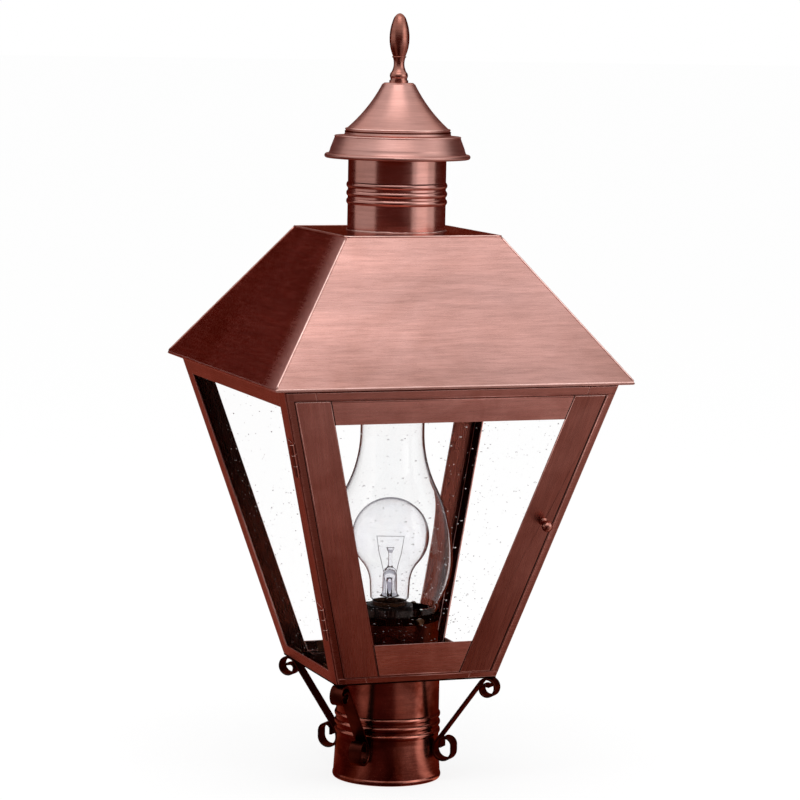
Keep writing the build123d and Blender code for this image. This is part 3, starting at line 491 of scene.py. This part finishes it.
def tube_mesh(paths, sides, closed):
    """Points and faces of round tubes along rows of (centre, radius)."""
    points, faces = [], []
    for path in paths:
        first = len(points)
        count = len(path)
        side = None
        for index, (centre, radius) in enumerate(path):
            before = path[index - 1][0] if index or closed else path[0][0]
            after = path[(index + 1) % count][0] if index + 1 < count or closed else path[-1][0]
            along = (Vector(after) - Vector(before)).normalized()
            if side is None:
                side = along.orthogonal().normalized()
            side = (side - along * side.dot(along)).normalized()
            up = along.cross(side)
            for step in range(sides):
                angle = math.tau * step / sides
                points.append(Vector(centre) + radius * (math.cos(angle) * side + math.sin(angle) * up))
        for index in range(count if closed else count - 1):
            a = first + index * sides
            b = first + (index + 1) % count * sides
            for step in range(sides):
                after = (step + 1) % sides
                faces.append((a + step, a + after, b + after, b + step))
        if not closed:
            faces.append(tuple(first + s for s in reversed(range(sides))))
            faces.append(tuple(first + (count - 1) * sides + s for s in range(sides)))
    return points, faces


def tubes(name, paths, sides, body, material, closed=False):
    """Piece made of round tubes."""
    points, faces = tube_mesh(paths, sides, closed)
    return piece(name, points, faces, body, material)


# Sides of the tubes' round sections
bead_sides, thin_sides, coil_sides = 10, 8, 6


def uneven(radius, swell):
    """Radius that swells by chance."""
    return radius + swell * chance.random()


# Uneven beads along the hips and the top edge of the roof, in pale edge copper: partly wear, partly painted
# highlight
hip_steps, hip_start, hip_span, hip_inset = 40, 0.006, 0.988, 0.35
hip_bead, hip_swell = 0.8, 0.12
hip_paths = []
for side_x in (-1, 1):
    for side_y in (-1, 1):
        low = Vector((side_x * roof_half, side_y * roof_half, roof_low))
        high = Vector((side_x * roof_top_half, side_y * roof_top_half, roof_high))
        inward = Vector((-side_x * hip_inset, -side_y * hip_inset, 0))
        shares = [hip_start + hip_span * i / hip_steps for i in range(hip_steps + 1)]
        hip_paths.append([(low.lerp(high, share) + inward, uneven(hip_bead, hip_swell)) for share in shares])
tubes("hip_beads", hip_paths, bead_sides, "lantern", edge_wear_and_sheen)

edge_steps, edge_bead, edge_swell = 30, 0.75, 0.1
edge_inset, edge_lift = 0.3, 0.4
edge_y, edge_z = edge_inset - roof_top_half, roof_high + edge_lift
edge_paths = []
for turn in range(4):
    spin = Matrix.Rotation(turn * math.pi / 2, 3, "Z")
    row = [Vector((roof_top_half * (2 * i / edge_steps - 1), edge_y, edge_z)) for i in range(edge_steps + 1)]
    edge_paths.append([(spin @ point, uneven(edge_bead, edge_swell)) for point in row])
tubes("top_edge_beads", edge_paths, bead_sides, "lantern", edge_wear_and_sheen)


def on_ring(radius, z, angle):
    """Point on a level ring round the lamp's axis."""
    return Vector((radius * math.cos(angle), radius * math.sin(angle), z))


# Uneven solder round the foot of the stack
solder_steps, solder_change = 220, 0.16
solder_thin, solder_thick = 0.45, 1.25
solder_ring, solder_height = stack_radius + 0.25, stack_low + 0.15
swell = 0.6
solder_path = []
for i in range(solder_steps):
    swell = min(solder_thick, max(solder_thin, swell + chance.uniform(-solder_change, solder_change)))
    solder_path.append((on_ring(solder_ring, solder_height, math.tau * i / solder_steps), swell))
tubes("stack_solder", [solder_path], thin_sides, "lantern", solder, closed=True)


# Rolled beads of the vent cap in pale edge copper, partly wear and partly painted highlight, with a painted
# shadow in the groove under the upper one
def cap_ring(inset, rise, thick, steps=144):
    """Closed row of (centre, radius) at an inset from the cap's rim and a rise above it."""
    return [(on_ring(rim_radius - inset, rim_low + rise, math.tau * i / steps), thick) for i in range(steps)]


cone_foot = cap_ring(inset=16.0, rise=21.7, thick=0.8)
cone_groove_shadow = cap_ring(inset=15.6, rise=19.8, thick=0.75)
skirt_top = cap_ring(inset=7.8, rise=16.3, thick=0.6)
tubes("cap_beads", [cone_foot, skirt_top], bead_sides, "lantern", edge_wear_and_sheen, closed=True)
tubes("cap_groove_shadow", [cone_groove_shadow], bead_sides, "lantern", shaded_copper, closed=True)


# Painted shadow in the gaps round the door's cover plates, and pale lines along their edges
def on_front(side, inset, z, offset):
    """Point on the front face at an inset from one of its arrises."""
    return Vector((side * (body_half(z) - inset), -body_half(z, offset), z))


def up_stiles(inset, low, high, offset, radius, sides=(-1, 1)):
    """Tubes along the stiles."""
    return [[(on_front(side, inset, z, offset), radius) for z in (low, high)] for side in sides]


def across_door(inset, z, offset, radius):
    """Tube from one stile to the other."""
    return [[(on_front(side, inset, z, offset), radius) for side in (-1, 1)]]


left_side, right_side = (-1,), (1,)
gap_line, edge_line, groove = 0.4, 0.36, 0.72
edge_face, groove_face, rim_face = cover_face - 0.2, cover_face - 0.5, strip_face - 0.1
groove_inset, rim_inset = 8.2, 1.6
gap_shadows = up_stiles(cover_inset, cover_low, cover_high, strip_face, gap_line, left_side)
gap_shadows += up_stiles(groove_inset, cover_low, cover_high, groove_face, groove, right_side)
gap_shadows += up_stiles(stile_inner, cover_low, rail_low_top, edge_face, gap_line)
gap_shadows += up_stiles(stile_inner, rail_high_bottom, cover_high, edge_face, gap_line)
# Pale lines along the plates' edges: partly wear, partly painted highlight
sheen_and_wear_lines = up_stiles(cover_inset + 2 * edge_line, cover_low, cover_high, edge_face, edge_line)
sheen_and_wear_lines += up_stiles(stile_inner - 2 * edge_line, cover_low, cover_high, edge_face, edge_line)
for z, outward in ((cover_low, -1), (cover_high, 1)):
    gap_shadows += across_door(cover_inset, z, strip_face, gap_line)
    sheen_and_wear_lines += across_door(rim_inset, z + outward * 3 * edge_line, rim_face, edge_line)
    sheen_and_wear_lines += across_door(stile_inner, z - outward * 2 * edge_line, edge_face, edge_line)
tubes("door_gap_shadows", gap_shadows, thin_sides, "door", painted_gap_shadow)
tubes("door_worn_and_sheen_edges", sheen_and_wear_lines, thin_sides, "door", edge_rub_and_sheen)


# Works of the bulb: hollow glass stem, exhaust tube, leads and coiled filament
def lathe(name, outline, body, material, steps=48):
    """Turned piece from a closed outline of (radius, height) pairs."""
    points, faces = [], []
    count = len(outline)
    for step in range(steps):
        points += [on_ring(radius, z, math.tau * step / steps) for radius, z in outline]
    for step in range(steps):
        a, b = step * count, (step + 1) % steps * count
        for i in range(count):
            j = (i + 1) % count
            faces.append((a + i, b + i, b + j, a + j))
    obj = piece(name, points, faces, body, material)
    weld(obj)
    return obj


stem_outside = [
    (7.4, 138.6), (6.2, 140.2), (5.6, 143.0), (5.4, 154.5), (5.0, 157.6), (3.9, 159.6), (2.3, 160.8),
    (1.7, 162.2), (1.6, 166.0), (1.5, 171.0), (1.7, 172.4), (2.5, 173.7), (2.7, 174.4), (2.6, 175.1),
    (1.6, 175.6), (0.0, 175.7),
]
stem_inside = [
    (0.0, 158.9), (1.6, 158.7), (3.3, 157.2), (4.3, 154.4), (4.6, 143.0), (5.4, 140.6), (6.9, 138.6),
]
stem = lathe("glass_stem", stem_outside + stem_inside, "bulb", stem_glass)
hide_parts("bulb_stem")
exhaust_outline = [
    (2.1, 139.0), (2.1, 147.0), (2.9, 150.2), (2.4, 152.6), (1.2, 152.8), (1.6, 150.0), (1.4, 139.0),
]
lathe("exhaust_tube", exhaust_outline, "bulb", stem_glass)
bulb_turn = math.radians(-20.0)


def across_bulb(x, z, y=0.0):
    """Point at a distance along the filament, a height, and a distance out of its plane."""
    return Vector((x * math.cos(bulb_turn) - y * math.sin(bulb_turn),
                   x * math.sin(bulb_turn) + y * math.cos(bulb_turn), z))


lead_radius, hook_radius, hook_height, hook_rise = 0.25, 0.4, 175.2, 0.12
lead_line = (
    (3.2, 140.0), (3.6, 150.0), (4.7, 156.0), (5.5, 160.0), (6.8, 165.5), (8.4, 171.3), (9.4, 177.5),
    (10.4, 184.6),
)
lead_paths = [[(across_bulb(side * x, z), lead_radius) for x, z in lead_line] for side in (-1, 1)]
hook = [(across_bulb(x, hook_height + hook_rise * abs(x)), hook_radius) for x in (-3.0, -1.5, 0.0, 1.5, 3.0)]
leads = tubes("curved_leads", [*lead_paths, hook], thin_sides, "bulb", wire_metal)
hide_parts("bulb_leads")

filament_half, filament_height, filament_radius = 10.4, 184.3, 0.075
coil_turns, coil_steps, coil_radius = 46, 10, 0.34
coil = []
for i in range(coil_turns * coil_steps + 1):
    share = i / (coil_turns * coil_steps)
    angle = math.tau * i / coil_steps
    along = (2 * share - 1) * filament_half
    height = filament_height + coil_radius * math.sin(angle)
    coil.append((across_bulb(along, height, coil_radius * math.cos(angle)), filament_radius))
filament = tubes("coiled_filament", [coil], coil_sides, "bulb", filament_metal)
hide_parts("bulb_filament")

# Seed bubbles in the four panes
bubble_rings, bubble_sides = 5, 8
seed_size, seed_growth, seed_stretch = 0.2, 0.33, 2.8
seed_thickest, seed_depth, seed_margin = 0.5, 0.7, 1.5


def seeds(name, body, turn, offset, z_low, z_high, edge, count):
    """Flattened bubbles scattered through the thickness of one pane."""
    points, faces = [], []
    spin = Matrix.Rotation(math.radians(turn), 3, "Z")
    slope = Vector((0, -math.sin(lean), math.cos(lean)))
    outward = Vector((0, -math.cos(lean), -math.sin(lean)))
    while count:
        z = chance.uniform(z_low, z_high)
        half = body_half(z) - edge
        x = chance.uniform(-half, half)
        if abs(x) > half - seed_margin:
            continue
        count -= 1
        deep = offset + chance.uniform(-seed_depth, seed_depth)
        centre = Vector((x, -body_half(z, deep), z))
        size = seed_size + seed_growth * chance.random() ** 3
        long = size * chance.uniform(1.0, seed_stretch)
        thick = min(size, seed_thickest)
        base = len(points)
        points.append(spin @ (centre + slope * size))
        for ring in range(1, bubble_rings):
            polar = math.pi * ring / bubble_rings
            for step in range(bubble_sides):
                angle = math.tau * step / bubble_sides
                flat = Vector((long * math.sin(polar) * math.cos(angle), 0, 0))
                points.append(spin @ (centre + flat + slope * size * math.cos(polar)
                                      + outward * thick * math.sin(polar) * math.sin(angle)))
        points.append(spin @ (centre - slope * size))
        last = len(points) - 1
        for step in range(bubble_sides):
            after = (step + 1) % bubble_sides
            faces.append((base, base + 1 + after, base + 1 + step))
            for ring in range(bubble_rings - 2):
                a = base + 1 + ring * bubble_sides
                faces.append((a + step, a + after, a + after + bubble_sides, a + step + bubble_sides))
            a = base + 1 + (bubble_rings - 2) * bubble_sides
            faces.append((a + step, a + after, last))
    piece(name, points, faces, body, seed_glass)


fixed_pane = {"offset": -2.9, "z_low": 92.0, "z_high": 306.0, "edge": 8.0, "count": 280}
seeds("seeds_door", "door", 0, offset=0.4, z_low=112.0, z_high=292.0, edge=25.0, count=430)
seeds("seeds_left", "lantern", -90, **fixed_pane)
seeds("seeds_right", "lantern", 90, **fixed_pane)
seeds("seeds_back", "lantern", 180, **fixed_pane)

# The set round the lamp, in metres, with bearings taken from the camera's own
camera_azimuth = math.radians(-20.11)


def direction(bearing, rise=0.0):
    """Unit vector away from the lamp at a bearing and a rise, in degrees."""
    angle, lift = camera_azimuth + math.radians(bearing), math.radians(rise)
    return Vector((math.cos(lift) * math.sin(angle), -math.cos(lift) * math.cos(angle), math.sin(lift)))


def stage_mesh(name, points, faces, material):
    """Piece of the set."""
    mesh = bpy.data.meshes.new(name)
    mesh.from_pydata(points, [], faces)
    mesh.materials.append(material)
    obj = bpy.data.objects.new(name, mesh)
    scene.collection.objects.link(obj)
    return obj


def seen(tree):
    """One for rays from the camera, mirrors and glass."""
    path = tree.add("LightPath").outputs
    direct = tree.math("ADD", path["Is Camera Ray"], path["Is Glossy Ray"])
    return tree.math("ADD", direct, path["Is Transmission Ray"], clamp=True)


# White floor that keeps a soft shadow
floor_reach, floor_height = 40.0, -2e-4
floor_tree = Tree("pale_floor")
glow = floor_tree.add("Emission", {"Color": (*WHITE, 1.0), "Strength": 0.82})
paper = floor_tree.add("BsdfDiffuse", {"Color": (0.82, 0.82, 0.82, 1.0)})
thin_paper = floor_tree.add("BsdfDiffuse", {"Color": (0.24, 0.24, 0.24, 1.0)})
both = floor_tree.add("AddShader", {0: glow.outputs[0], 1: thin_paper.outputs[0]})
floor_mix = floor_tree.add("MixShader", {0: seen(floor_tree), 1: paper.outputs[0], 2: both.outputs[0]})
floor_material = floor_tree.surface(floor_mix.outputs[0])
floor_corners = [(x * floor_reach, y * floor_reach, floor_height)
                 for x, y in ((-1, -1), (1, -1), (1, 1), (-1, 1))]
stage_mesh("floor", floor_corners, [(0, 1, 2, 3)], floor_material)

# Through more walls of glass than this, a card shows as the edge of glass and not as its paint
pane_limit = 5.5
glass_edge = (0.5, 0.5, 0.53)


def card(name, points, faces, paint, through=None):
    """Studio card that only mirrors and glass see; the paint gives its colour.

    Glass alone sees the card in a colour of its own where one is given, and otherwise not at all."""
    tree = Tree(name)
    colour = paint(tree)
    path = tree.add("LightPath").outputs
    mirrored = tree.math("GREATER_THAN", path["Glossy Depth"], 0.5)
    if through:
        few_panes = tree.math("LESS_THAN", path["Transmission Depth"], pane_limit)
        colour = tree.blend(tree.math("MULTIPLY", mirrored, few_panes), through, colour)
    shader = tree.add("Emission", {"Color": colour, "Strength": 1.0})
    if not through:
        clear = tree.add("BsdfTransparent")
        shader = tree.add("MixShader", {0: mirrored, 1: clear.outputs[0], 2: shader.outputs[0]})
    obj = stage_mesh(name, points, faces, tree.surface(shader.outputs[0]))
    obj.visible_camera = False
    obj.visible_diffuse = False
    obj.visible_shadow = False
    obj.visible_volume_scatter = False


def plain_paint(colour):
    """Nearly even colour."""
    def paint(tree):
        return tree.mottle(1.2, 2.0, tuple(0.9 * c for c in colour), colour)
    return paint


def faded_paint(colour, low, high):
    """Colour that fades to white between two heights."""
    def paint(tree):
        return tree.blend(tree.spread(tree.axes()["Z"], 0.0, 1.0, low, high), colour, WHITE)
    return paint


# Bearing, half width at full strength, half width where it ends, and colour
floor_patches = (
    (-9.0, 23.0, 28.0, (0.06, 0.006, 0.002)),
    (72.0, 6.0, 13.0, (1.0, 0.76, 0.70)),
    (-50.0, 6.0, 20.0, (0.36, 0.20, 0.165)),
    (-146.0, 12.0, 40.0, (0.27, 0.13, 0.105)),
)
# Share of the way from the lamp to where the floor is palest, and colour
floor_stops = (
    (0.0, (0.12, 0.014, 0.005)),
    (0.3, (0.18, 0.06, 0.035)),
    (0.5, (0.27, 0.15, 0.125)),
    (0.75, (0.35, 0.245, 0.225)),
    (1.0, (0.46, 0.36, 0.34)),
)
pale_turn, pale_distance = math.radians(45.6), 0.6


def floor_paint(tree):
    """Dark round the lamp and behind it, paler toward the front right, with patches by bearing."""
    turned = tree.add("Mapping", {"Vector": tree.place(), "Rotation": (0.0, 0.0, pale_turn)}).outputs[0]
    front = tree.add("SeparateXYZ", {"Vector": turned}).outputs["X"]
    node = tree.add("ValToRGB", {"Fac": tree.spread(front, 0.0, 1.0, 0.0, pale_distance)})
    while len(node.color_ramp.elements) < len(floor_stops):
        node.color_ramp.elements.new(0.5)
    for element, (position, stop_colour) in zip(node.color_ramp.elements, floor_stops):
        element.position = position
        element.color = (*stop_colour, 1.0)
    colour = node.outputs[0]
    x, y, _ = tree.axes()
    azimuth = tree.math("ARCTAN2", x, tree.math("MULTIPLY", y, -1.0))
    for bearing, full, end, patch in floor_patches:
        centre = camera_azimuth + math.radians(bearing)
        off = tree.math("ABSOLUTE", tree.math("SUBTRACT", azimuth, centre))
        share = tree.spread(off, 1.0, 0.0, math.radians(full), math.radians(end))
        colour = tree.blend(share, colour, patch)
    return colour


deep_red, pale_grey = (0.10, 0.011, 0.003), (0.78, 0.74, 0.73)
card_radius, card_steps = 3.3, 24
ring_steps, ring_height = 48, 4e-4


def wall_card(name, start, end, height, paint):
    """Upright curved card between two bearings, in degrees."""
    points = []
    for i in range(card_steps + 1):
        x, y, _ = direction(start + (end - start) * i / card_steps) * card_radius
        points += [(x, y, 0.0), (x, y, height)]
    faces = [(2 * i, 2 * i + 2, 2 * i + 3, 2 * i + 1) for i in range(card_steps)]
    card(name, points, faces, paint, glass_edge)


wall_card("card_front", -50.0, 36.0, 2.15, faded_paint(deep_red, 0.9, 2.1))
wall_card("card_back", 99.0, 246.0, 2.5, plain_paint(deep_red))
wall_card("card_left", -114.0, -50.0, 2.0, plain_paint(pale_grey))
floor_ring = [on_ring(card_radius, ring_height, math.tau * i / ring_steps) for i in range(ring_steps)]
card("card_floor", floor_ring, [tuple(range(ring_steps))], floor_paint)

# Light: a white world that lights the lamp a little less than it shows, and two softboxes
world_light = 0.7
world = bpy.data.worlds.new("studio")
scene.world = world
world_tree = Tree("studio", world)
level = world_tree.spread(seen(world_tree), world_light, 1.0, 0.0, 1.0)
backdrop = world_tree.add("Background", {"Color": (*WHITE, 1.0), "Strength": level})
world_out = world_tree.add("OutputWorld")
world_tree.links.new(backdrop.outputs[0], world_out.inputs["Surface"])
lit_point = Vector((0.0, 0.0, 0.45))


def softbox(name, toward, reach, width, height, radiance):
    """Area lamp of a given radiance at a reach from the lit point, which it faces."""
    lamp = bpy.data.lights.new(name, "AREA")
    lamp.shape = "RECTANGLE"
    lamp.size, lamp.size_y = width, height
    lamp.energy = radiance * math.pi * width * height
    obj = bpy.data.objects.new(name, lamp)
    obj.location = lit_point + toward * reach
    obj.rotation_euler = (-toward).to_track_quat("-Z", "Y").to_euler()
    scene.collection.objects.link(obj)


softbox("key", direction(-4.0, 60.0), reach=2.0, width=1.7, height=1.4, radiance=1.6)
softbox("right", direction(62.0, 12.0), reach=2.4, width=1.3, height=1.3, radiance=1.15)

# Camera fitted to the photograph
camera_rise, roll = 6.65, math.radians(1.05)
distance, side_shift, target_height = 2.4722, 0.00527, 0.2884
back = direction(0.0, camera_rise)
right = Vector((math.cos(camera_azimuth), math.sin(camera_azimuth), 0.0))
up = back.cross(right)
turned_right = right * math.cos(roll) + up * math.sin(roll)
turned_up = up * math.cos(roll) - right * math.sin(roll)
place = Vector((0.0, 0.0, target_height)) + right * side_shift + back * distance
lens = bpy.data.cameras.new("camera")
lens.sensor_width = 36.0
lens.lens = 147.4
camera = bpy.data.objects.new("camera", lens)
camera.matrix_world = Matrix((
    (turned_right.x, turned_up.x, back.x, place.x),
    (turned_right.y, turned_up.y, back.y, place.y),
    (turned_right.z, turned_up.z, back.z, place.z),
    (0.0, 0.0, 0.0, 1.0),
))
scene.collection.objects.link(camera)
scene.camera = camera
scene.view_settings.view_transform = "Standard"

# Light has to pass four panes of glass, the chimney, the bulb and its stem
light_bounces = 28
scene.cycles.max_bounces = light_bounces
scene.cycles.transmission_bounces = light_bounces
scene.cycles.transparent_max_bounces = light_bounces
